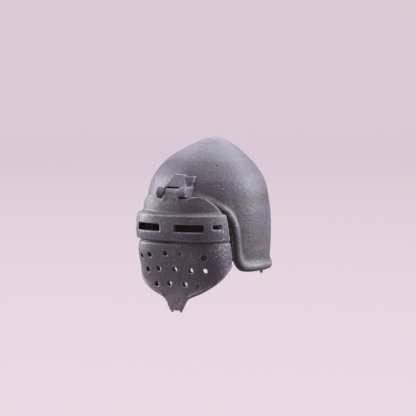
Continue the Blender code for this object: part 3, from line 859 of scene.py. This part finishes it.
def nub(name, start, length, radius):
    """A stub hanging from a point, whose radius narrows and swells again as a cosine along its length."""
    share = np.linspace(0, 1, 12)
    path = start - share[:, None] * np.array((0.12, 0.05, 1.0)) * length
    radii = radius * (0.75 + 0.25 * np.cos(2 * np.pi * share)) * np.sqrt(1 - 0.9 * share**6)
    piece = bead(name, path, radii, 14)
    mark_edges(piece, 2, 1.5 * EDGE_REACH)
    return piece


# The resin


def node(tree, kind, **settings):
    """A shader node with its settings; a name that is an input's sets that input."""
    made = tree.nodes.new(kind)
    for name, value in settings.items():
        if hasattr(made, name):
            setattr(made, name, value)
        else:
            made.inputs[name.replace("_", " ")].default_value = value
    return made


def grain(tree, place, feature, detail=2.0, stretch=(1, 1, 1)):
    """Noise on Object coordinates whose features are about as large as the given length."""
    mapping = node(tree, "ShaderNodeMapping")
    mapping.inputs["Scale"].default_value = stretch
    tree.links.new(place, mapping.inputs["Vector"])
    noise = node(tree, "ShaderNodeTexNoise", Scale=1.0 / feature, Detail=detail, Roughness=0.55)
    tree.links.new(mapping.outputs["Vector"], noise.inputs["Vector"])
    return noise.outputs["Fac"]


def ramp(tree, source, low, high, start=0.0, end=1.0):
    """A value stretched so that low to high becomes start to end, and held there."""
    made = node(tree, "ShaderNodeMapRange")
    for name, value in (("From Min", low), ("From Max", high), ("To Min", start), ("To Max", end)):
        made.inputs[name].default_value = value
    tree.links.new(source, made.inputs["Value"])
    return made.outputs["Result"]


def connect(tree, value, socket):
    """Feeds a socket from a source, or sets it to a number or a colour."""
    if isinstance(value, bpy.types.NodeSocket):
        tree.links.new(value, socket)
    else:
        socket.default_value = value


def calculate(tree, operation, *terms):
    """Terms taken together two at a time, from the left; each is a source or a number."""
    result = terms[0]
    for term in terms[1:]:
        made = node(tree, "ShaderNodeMath", operation=operation)
        connect(tree, result, made.inputs[0])
        connect(tree, term, made.inputs[1])
        result = made.outputs[0]
    return result


def blend_colours(tree, share, first, second):
    """One colour turning into another; each is a source or three numbers."""
    made = node(tree, "ShaderNodeMix", data_type="RGBA")
    tree.links.new(share, made.inputs["Factor"])
    for socket, value in ((made.inputs[6], first), (made.inputs[7], second)):
        connect(tree, value if isinstance(value, bpy.types.NodeSocket) else (*value, 1.0), socket)
    return made.outputs[2]


def near_to(tree, place, centre, full, reach, strength):
    """The given strength within a distance of a centre, fading to none at the reach; all in millimetres."""
    made = node(tree, "ShaderNodeVectorMath", operation="DISTANCE")
    tree.links.new(place, made.inputs[0])
    made.inputs[1].default_value = tuple(value * MM for value in centre)
    return ramp(tree, made.outputs["Value"], reach * MM, full * MM, 0.0, strength)


def resin(name, look, painted_light_level, speckle):
    """Satin printed resin: clouded grey, paler on edges that stand out and on specks, with painted shade in
    creases, pits and the interior, and painted light on the stem.

    The surface carries fine print layers along Z and a soft grain.
    """
    material = bpy.data.materials.new(name)
    material.use_nodes = True
    tree = material.node_tree
    shader = tree.nodes["Principled BSDF"]
    total, product = partial(calculate, tree, "ADD"), partial(calculate, tree, "MULTIPLY")
    place = node(tree, "ShaderNodeTexCoord").outputs["Object"]
    stand_height = node(tree, "ShaderNodeAttribute", attribute_name="edge_wear").outputs["Fac"]
    inside = node(tree, "ShaderNodeAttribute", attribute_name="inside").outputs["Fac"]
    # Where there is no painted inner shade, so that pale edges and specks stay off it
    outside = ramp(tree, inside, 0.1, 0.6, 1.0, 0.0)

    clouds = ramp(tree, grain(tree, place, 2.6 * MM, 4.0), 0.35, 0.65, 0.0, 0.4)
    mottle = ramp(tree, grain(tree, place, 0.35 * MM, 3.0), 0.3, 0.7)
    flecks = ramp(tree, grain(tree, place, 0.13 * MM, 2.0), 0.3, 0.7, 0.0, 0.25)
    # Painted light: this level makes a lighter or darker copy of the one resin for each piece, standing in
    # for how much light falls on it
    low, high = (tuple(channel * painted_light_level for channel in colour) for colour in (look.dark, look.light))
    colour = blend_colours(tree, total(clouds, product(mottle, 0.35), flecks), low, high)
    # Painted shade: the interior, the rim's face towards the opening and the groove under the band are
    # darkened towards the inner colour, standing in for the shadow there
    colour = blend_colours(tree, product(inside, 0.95), colour, look.inner)
    # Painted shade: creases, where the skin lies in below its surroundings, are darkened towards the crease
    # colour, standing in for the shadow in them
    colour = blend_colours(tree, ramp(tree, stand_height, 0.46, 0.1, 0.0, look.crease_shade_strength), colour, look.painted_shade_and_scratch)

    patchy = ramp(tree, grain(tree, place, 0.5 * MM, 4.0), 0.4, 0.6, 0.35, 1.0)
    edge = ramp(tree, stand_height, 0.58, 0.95, 0.0, look.edge_share)
    colour = blend_colours(tree, product(edge, patchy, outside), colour, look.worn)
    where = ramp(tree, grain(tree, place, 3.0 * MM, 2.0), 0.5, 0.7, 0.08, 0.5)
    # The last patch is painted light: pale specks on the stem
    for centre, reach, strength in SPECKS_AND_PAINTED_LIGHT:
        where = calculate(tree, "MAXIMUM", where, near_to(tree, place, centre, reach * 0.3, reach, strength))
    dots = ramp(tree, grain(tree, place, 0.16 * MM, 1.0), look.speck_level, look.speck_level + 0.07)
    colour = blend_colours(tree, product(where, dots, speckle, outside), colour, look.worn)

    lines = ramp(tree, grain(tree, place, 0.3 * MM, 2.0, (1, 1, 0.07)), 0.52, 0.68)
    rubbed = near_to(tree, place, STREAKED[0], STREAKED[1] * 0.4, STREAKED[1], 0.45)
    colour = blend_colours(tree, product(lines, rubbed), colour, look.painted_shade_and_scratch)
    # Painted shade: the pits are darkened towards the crease colour, standing in for the shadow in them; the
    # bump also presses them in
    pits = [near_to(tree, place, centre, reach * 0.4, reach, 1.0) for centre, reach in PITS]
    pit = calculate(tree, "MAXIMUM", *pits)
    colour = blend_colours(tree, product(pit, 0.7), colour, look.painted_shade_and_scratch)
    tree.links.new(colour, shader.inputs["Base Color"])

    bumps = [
        product(grain(tree, place, feature * MM, detail, stretch), height)
        for feature, detail, stretch, height in RELIEF
    ]
    bump = node(tree, "ShaderNodeBump", Strength=1.0, Distance=look.relief)
    tree.links.new(total(*bumps, product(pit, -1.6)), bump.inputs["Height"])
    tree.links.new(bump.outputs["Normal"], shader.inputs["Normal"])
    rough = ramp(tree, mottle, 0.0, 1.0, look.roughness - 0.06, look.roughness + 0.08)
    tree.links.new(rough, shader.inputs["Roughness"])
    shader.inputs["Specular IOR Level"].default_value = look.gloss
    return material


def finish_piece(piece, material, body, replaced=()):
    """Gives a piece its resin, hangs it on its body and hides the parts of model.glb that it replaces."""
    piece.data.materials.clear()
    piece.data.materials.append(material)
    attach(piece, body)
    if replaced:
        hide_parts(*replaced)


# The stage


def plain_material(name, colour, roughness):
    """A matt studio surface whose tone drifts a little over its width."""
    material = bpy.data.materials.new(name)
    material.use_nodes = True
    tree = material.node_tree
    shader = tree.nodes["Principled BSDF"]
    place = node(tree, "ShaderNodeTexCoord").outputs["Object"]
    drift = ramp(tree, grain(tree, place, 400 * MM, 1.0), 0.3, 0.7)
    near = tuple(channel * 0.985 for channel in colour)
    tree.links.new(blend_colours(tree, drift, near, colour), shader.inputs["Base Color"])
    shader.inputs["Roughness"].default_value = roughness
    shader.inputs["Specular IOR Level"].default_value = 0.1
    return material


def build_stage(studio):
    """A flat floor whose far edge sweeps up all round in a quarter circle, into an upright wall.

    It is seen by the camera alone, and the glow stands for the light that it would throw back.
    """
    flat = np.linspace(0.02, 1, 20) * studio.floor_radius
    turn = np.linspace(0, np.pi / 2, 24)[1:]
    swept = studio.floor_radius + np.sin(turn) * studio.sweep
    out = np.concatenate((flat, swept, swept[-1:]))[:, None]
    rise = np.concatenate((0 * flat, (1 - np.cos(turn)) * studio.sweep, [studio.wall]))[:, None]
    points = direction(full_turn(96)) * out[:, None]
    points[:, :, 2] = rise - studio.floor_drop
    faces = grid_faces(len(out), 96, True).tolist()
    faces.append(list(range(96))[::-1])
    mesh = bpy.data.meshes.new("studio_floor")
    mesh.from_pydata(points.reshape(-1, 3).tolist(), [], faces)
    mesh.shade_smooth()
    mesh.materials.append(plain_material("studio_paper", studio.paper, 0.9))
    floor = add_object("studio_floor", mesh)
    floor.visible_diffuse = False
    floor.visible_glossy = False
    return floor


def light_only(lamp, lit):
    """Makes a lamp, which the camera doesn't see, light the given objects and nothing else."""
    lamp.visible_camera = False
    lamp.light_linking.receiver_collection = bpy.data.collections.new(lamp.name + "_lit")
    for piece in lit:
        lamp.light_linking.receiver_collection.objects.link(piece)


def look_inwards(thing, turn, lift, distance, height=0.0):
    """Puts a lamp or camera at a turn, lift and distance, facing a height on the upright axis."""
    thing.location = direction(turn, lift) * distance + (0, 0, height)
    thing.rotation_euler = (math.pi / 2 - lift, 0, turn)


def add_softbox(studio, name, turn, lift, power, lit):
    """A square lamp that faces the object, at an azimuth off the camera's and an elevation, in degrees."""
    lamp = bpy.data.lights.new(name, "AREA")
    lamp.shape = "SQUARE"
    lamp.size = studio.softbox_size
    lamp.energy = power * studio.light
    lamp.color = studio.light_colour
    box = add_object(name, lamp)
    look_inwards(box, studio.azimuth + math.radians(turn), math.radians(lift), studio.softbox_distance)
    light_only(box, lit)


def add_paper_lamp(studio, floor):
    """A lamp high above the floor, for the floor alone."""
    lamp = bpy.data.lights.new("paper_lamp", "POINT")
    lamp.shadow_soft_size = studio.floor_drop
    lamp.energy = studio.paper_light
    bulb = add_object("paper_lamp", lamp)
    bulb.location = (0, 0, studio.paper_lamp_height)
    light_only(bulb, [floor])


def add_camera(studio):
    """The camera at the photograph's angle, aimed at the middle of the view."""
    lens = bpy.data.cameras.new("camera")
    lens.sensor_width = 36.0
    lens.lens = studio.lens
    lens.clip_start = 0.01
    camera = add_object("camera", lens)
    look_inwards(camera, studio.azimuth, studio.elevation, studio.distance, studio.aim)
    bpy.context.scene.camera = camera


def light_stage(studio, floor):
    """Soft lamps at the sides and behind, one for the floor, and a faint even glow."""
    pieces = [piece for piece in bpy.context.scene.objects if piece.type == "MESH" and piece is not floor]
    for name, turn, lift, power in SOFTBOXES:
        add_softbox(studio, name, turn, lift, power, pieces)
    add_paper_lamp(studio, floor)
    world = bpy.data.worlds.new("glow")
    world.use_nodes = True
    background = world.node_tree.nodes["Background"]
    background.inputs["Color"].default_value = (*studio.glow_colour, 1.0)
    background.inputs["Strength"].default_value = studio.glow
    bpy.context.scene.world = world
    bpy.context.scene.view_settings.view_transform = "Standard"


# The add-on


def length(name, description, millimetres):
    value = millimetres * MM
    return FloatProperty(name=name, description=description, default=value, unit="LENGTH", precision=5)


def share(name, description, value):
    return FloatProperty(name=name, description=description, default=value, min=0.0, max=1.0)


def number(name, description, value):
    return FloatProperty(name=name, description=description, default=value, min=0.0)


def count(name, description, value):
    return IntProperty(name=name, description=description, default=value, min=12, max=720)


def angle(name, description, degrees):
    return FloatProperty(name=name, description=description, default=math.radians(degrees), subtype="ANGLE")


def tint(name, description, value):
    return FloatVectorProperty(
        name=name, description=description, default=value, subtype="COLOR", min=0.0, max=1.0
    )


class BascinetSkullSizes(bpy.types.PropertyGroup):
    half_width: length("Half width", "From the middle to the outside of the skull at its widest", 6.25)
    front: length("Front", "From the middle of the seat to the front of the skull", 6.3)
    back: length("Back", "From the middle of the seat to the back of the skull", 6.45)
    crown_height: length("Crown height", "From the seat up to the apex", 6.05)
    skirt_depth: length("Skirt depth", "From the seat down to the bottom of the rim", 6.95)
    apex_setback: length("Apex setback", "How far the apex lies behind the middle", 1.15)
    ridge_height: length("Ridge height", "How far the front ridge stands out", 0.2)
    ridge_spread: angle("Ridge spread", "Half breadth of the front ridge, round the skull", 14)
    cavity_radius: length("Cavity radius", "Radius of the round cavity for the head", 5.25)
    socket_radius: length("Socket radius", "Radius of the socket for the head's stud", 2.53)
    socket_depth: length("Socket depth", "Depth of the stud's socket above the seat", 1.9)
    rim_radius: length("Rim radius", "Radius of the rolled rim", 0.52)
    rim_slim: share("Rim slimness", "Share of the rim's radius that it keeps round the face", 0.88)
    rim_corner: number("Rim corner", "Exponent of the rim's outline towards the opening, 2 for round", 3.2)
    rim_proud: length("Rim stand", "How far the rim stands out from the skull", 0.25)
    face_top: length("Face top", "Height of the face opening's top above the seat", 0.75)
    face_half_angle: angle("Face half angle", "Half breadth of the face opening, round the skull", 58.0)
    columns: count("Columns", "Points round the skull", 360)
    dome_rows: count("Dome rows", "Rows from the rim to the apex", 120)


class BascinetVisorSizes(bpy.types.PropertyGroup):
    half_width: length("Half width", "From the middle to the side of the visor", 5.05)
    reach: length("Reach", "From the middle of the seat to the front of the visor", 7.72)
    back: length("Back line", "How far in front of the middle the visor's sides end", 3.75)
    top: length("Top", "Height of the visor's top edge above the seat", 0.46)
    chin_depth: length("Chin depth", "From the seat down to the chin", 9.3)
    wall: length("Wall", "Thickness of the visor", 0.65)
    tongue_length: length("Tongue length", "How far the tongue hangs below the chin", 1.36)
    tongue_half_angle: angle("Tongue half angle", "Half breadth of the tongue, round the face", 14)
    band_top: length("Band top", "Depth of the sight band's top below the seat", 1.02)
    band_height: length("Band height", "Height of the sight band", 2.68)
    band_proud: length("Band stand", "How far the sight band stands out at the front", 0.54)
    band_side_share: share("Band side share", "Share of the band's stand that it keeps at the sides", 0.18)
    band_edge: length("Band edge", "Height over which the band's edge rises", 0.16)
    groove_depth: length("Groove depth", "Depth of the groove under the sight band", 0.26)
    groove_width: length("Groove width", "Half breadth of the groove under the sight band", 0.15)
    stem_top_width: length("Stem top width", "Width of the stem at the knuckle", 1.36)
    stem_foot_width: length("Stem foot width", "Width of the stem at the brow", 1.9)
    stem_stand: length("Stem stand", "How far the stem's foot stands out from the brow", 0.02)
    slot_height: length("Sight height", "Height of the long sights", 0.73)
    slot_drop: length("Sight drop", "Depth of the sights' middle below the seat", 2.35)
    slot_length: length("Sight length", "Length of a long sight", 2.89)
    slot_bridge: length("Sight bridge", "Width left between the long sights", 1.62)
    short_slot_length: length("Short sight length", "Length of a short sight", 1.05)
    short_slot_height: length("Short sight height", "Height of a short sight", 0.42)
    short_slot_place: length("Short sight place", "From the middle of the face to a short sight", 4.646)
    breath_radius: length("Breath radius", "Radius of most breath holes", 0.25)
    dimple_depth: length("Dimple depth", "Depth of a breath hole that the print has closed", 0.09)
    lip_radius: length("Lip radius", "Radius of the rounded lip along the lower edge", 0.2)
    lip_proud: length("Lip stand", "How far the lip stands out from the wall", 0.09)
    grain: length("Skin size", "Side of the quads that the skin is rebuilt from", 0.063)


class BascinetHingeSizes(bpy.types.PropertyGroup):
    ear_radius: length("Ear radius", "Radius of the two ears", 0.56)
    ear_width: length("Ear width", "Width of each ear", 0.8)
    ear_gap: length("Ear gap", "Room between the ears", 1.7)
    knuckle_radius: length("Knuckle radius", "Radius of the visor's knuckle", 0.35)
    knuckle_clearance: length("Knuckle clearance", "Room at each end of the knuckle", 0.12)
    pin_radius: length("Pin radius", "Radius of the cross pin", 0.16)
    plate_width: length("Plate width", "Width of the plate's body", 3.1)
    plate_bottom: length("Plate bottom", "Height of the plate's lower edge above the seat", 0.8)
    plate_height: length("Plate height", "Height of the plate", 1.77)
    plate_thickness: length("Plate thickness", "How far the plate stands off the skull", 0.3)
    wing_width: length("Wing width", "Width across the plate's wings", 3.25)
    wing_height: length("Wing height", "Height of the wings", 0.6)
    block_top_width: length("Block top width", "Width of the bevelled block's top", 1.45)
    block_foot_width: length("Block foot width", "Width of the bevelled block's foot", 2.6)
    block_height: length("Block height", "Height of the bevelled block", 1.2)
    block_slot: length("Block slot", "Room between the block and the knuckle", 0.12)
    block_reach: length("Block reach", "How far the block's foot stands out", 0.7)
    block_slope: length("Block slope", "How far the block's top lies behind its foot", 0.78)
    sunk: length("Sunk", "How far the plate is let into the skull", 0.06)
    grain: length("Skin size", "Side of the quads that the skin is rebuilt from", 0.036)


class BascinetPrintMarks(bpy.types.PropertyGroup):
    tongue_spread: length("Tongue spread", "From the middle to each stub under the tongue", 0.52)
    length: length("Length", "Length of a stub under the rim", 0.42)
    radius: length("Radius", "Radius of a stub under the rim", 0.22)


class BascinetResin(bpy.types.PropertyGroup):
    dark: tint("Dark grey", "The darker clouds in the resin", (0.053, 0.038, 0.051))
    light: tint("Light grey", "The paler clouds in the resin", (0.108, 0.083, 0.11))
    # Painted shade for the shell's interior, the rim's face towards the opening and the groove under the band
    inner: tint("Inside", "The unlit inside of the shell and the rim", (0.045, 0.034, 0.033))
    # Painted shade in creases and pits, and also the colour of the faint scratches
    painted_shade_and_scratch: tint("Crease", "Dirt in creases and pits", (0.035, 0.028, 0.03))
    # Pale edges and specks, and the painted light on the stem
    worn: tint("Worn", "Rubbed edges and specks", (0.46, 0.43, 0.47))
    # How strongly the painted shade darkens creases
    crease_shade_strength: share("Crease depth", "How strongly creases darken", 0.7)
    edge_share: share("Edge share", "How strongly edges pale", 0.32)
    speck_level: share("Speck level", "Noise level above which a speck shows", 0.595)
    roughness: share("Roughness", "Roughness of the resin", 0.5)
    gloss: share("Gloss", "Specular level of the resin", 0.5)
    relief: length("Relief", "Depth of the surface's grain", 0.03)


class BascinetStudio(bpy.types.PropertyGroup):
    azimuth: angle("Azimuth", "The camera's turn round the object from its front", 30.0)
    elevation: angle("Elevation", "The camera's angle above the horizon", 5.0)
    distance: length("Distance", "From the camera to its aim", 300.0)
    aim: length("Aim", "Height that the camera is aimed at", -1.0)
    lens: number("Lens", "Focal length in millimetres", 259.6)
    floor_drop: length("Floor drop", "How far the floor lies below the seat", 38.0)
    floor_radius: length("Floor radius", "Radius of the flat floor", 600.0)
    sweep: length("Sweep", "Radius of the sweep round the floor", 330.0)
    wall: length("Wall", "Height of the wall above the floor", 900.0)
    paper: tint("Paper", "Colour of the floor", (0.8, 0.73, 0.787))
    paper_light: number("Paper light", "Watts of the floor's lamp", 38.0)
    paper_lamp_height: length("Paper lamp height", "Height of the floor's lamp above the seat", 1200.0)
    softbox_size: length("Softbox size", "Side of each softbox", 300.0)
    softbox_distance: length("Softbox distance", "From the seat to each softbox", 500.0)
    light: number("Light", "Strength of the softboxes", 1.08)
    light_colour: tint("Light colour", "Colour of the softboxes", (0.86, 0.94, 1.0))
    glow: number("Glow", "Strength of the even glow", 0.42)
    glow_colour: tint("Glow colour", "Colour of the even glow", (1.0, 0.84, 0.94))


class BascinetSettings(bpy.types.PropertyGroup):
    skull: PointerProperty(name="Skull", description="Sizes of the skull", type=BascinetSkullSizes)
    visor: PointerProperty(name="Visor", description="Sizes of the visor", type=BascinetVisorSizes)
    hinge: PointerProperty(name="Hinge", description="Sizes of the hinge", type=BascinetHingeSizes)
    marks: PointerProperty(name="Print marks", description="Sizes of the stubs", type=BascinetPrintMarks)
    resin: PointerProperty(name="Resin", description="Colours and finish of the resin", type=BascinetResin)
    studio: PointerProperty(name="Studio", description="Camera, floor and light", type=BascinetStudio)


class BASCINET_OT_skull(bpy.types.Operator):
    """Build the skull with its rolled rim, cavity and stud socket"""

    bl_idname = "bascinet.skull"
    bl_label = "Skull"

    def execute(self, context):
        settings = context.scene.bascinet
        skull = build_skull(settings.skull)
        material = resin("skull_resin", settings.resin, 1.0, 0.5)
        finish_piece(skull, material, "skull", ["skull"])
        return {"FINISHED"}


class BASCINET_OT_visor(bpy.types.Operator):
    """Build the visor with its band, sights, breath holes, tongue and stem"""

    bl_idname = "bascinet.visor"
    bl_label = "Visor"

    def execute(self, context):
        settings = context.scene.bascinet
        visor = build_visor(settings.visor, settings.hinge)
        # Painted light: the visor's copy of the resin is painted a little lighter than the skull's
        material = resin("visor_resin", settings.resin, 1.04, 1.0)
        finish_piece(visor, material, "visor", ["visor"])
        return {"FINISHED"}


class BASCINET_OT_hinge(bpy.types.Operator):
    """Build the hinge's plate, block and ears, and the cross pin"""

    bl_idname = "bascinet.hinge"
    bl_label = "Hinge"

    def execute(self, context):
        settings = context.scene.bascinet
        bracket = build_hinge_bracket(settings.hinge, settings.skull)
        # Painted light: the bracket's copy of the resin is painted lighter, standing in for the light on the
        # hinge
        material = resin("bracket_resin", settings.resin, 1.15, 0.6)
        finish_piece(bracket, material, "skull", ["hinge_bracket"])
        pin = build_hinge_pin(settings.hinge)
        # Painted shade: the pin's copy of the resin is painted darker
        finish_piece(pin, resin("pin_resin", settings.resin, 0.9, 0.3), "skull", ["hinge_pin"])
        return {"FINISHED"}


class BASCINET_OT_print_marks(bpy.types.Operator):
    """Add the stubs that the print's supports left under the tongue and the rim"""

    bl_idname = "bascinet.print_marks"
    bl_label = "Print marks"

    def execute(self, context):
        settings = context.scene.bascinet
        material = resin("stub_resin", settings.resin, 1.0, 0.5)
        for stub in build_support_nubs(settings.marks, settings.skull, settings.visor):
            body = "visor" if stub.name.startswith("tongue") else "skull"
            finish_piece(stub, material, body)
        return {"FINISHED"}


class BASCINET_OT_stage(bpy.types.Operator):
    """Set up the plain pale floor, the soft light and the camera"""

    bl_idname = "bascinet.stage"
    bl_label = "Stage"

    def execute(self, context):
        studio = context.scene.bascinet.studio
        light_stage(studio, build_stage(studio))
        add_camera(studio)
        return {"FINISHED"}


class BASCINET_PT_panel(bpy.types.Panel):
    """Buttons that build the bascinet piece by piece, and its settings"""

    bl_label = "Toy Bascinet"
    bl_idname = "BASCINET_PT_panel"
    bl_space_type = "VIEW_3D"
    bl_region_type = "UI"
    bl_category = "Bascinet"

    def draw(self, context):
        for operator in OPERATORS:
            self.layout.operator(operator.bl_idname)
        for part in ("skull", "visor", "hinge", "marks", "resin", "studio"):
            group = getattr(context.scene.bascinet, part)
            column = self.layout.box().column()
            for name in group.bl_rna.properties.keys():
                if name not in ("rna_type", "name"):
                    column.prop(group, name)


OPERATORS = (
    BASCINET_OT_skull,
    BASCINET_OT_hinge,
    BASCINET_OT_visor,
    BASCINET_OT_print_marks,
    BASCINET_OT_stage,
)

CLASSES = (
    BascinetSkullSizes,
    BascinetVisorSizes,
    BascinetHingeSizes,
    BascinetPrintMarks,
    BascinetResin,
    BascinetStudio,
    BascinetSettings,
    *OPERATORS,
    BASCINET_PT_panel,
)


def register():
    for cls in CLASSES:
        bpy.utils.register_class(cls)
    bpy.types.Scene.bascinet = PointerProperty(type=BascinetSettings)


def unregister():
    del bpy.types.Scene.bascinet
    for cls in reversed(CLASSES):
        bpy.utils.unregister_class(cls)


def main():
    """Registers the add-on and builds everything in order."""
    register()
    bpy.ops.bascinet.skull()
    bpy.ops.bascinet.hinge()
    bpy.ops.bascinet.visor()
    bpy.ops.bascinet.print_marks()
    bpy.ops.bascinet.stage()


if __name__ == "__main__":
    main()
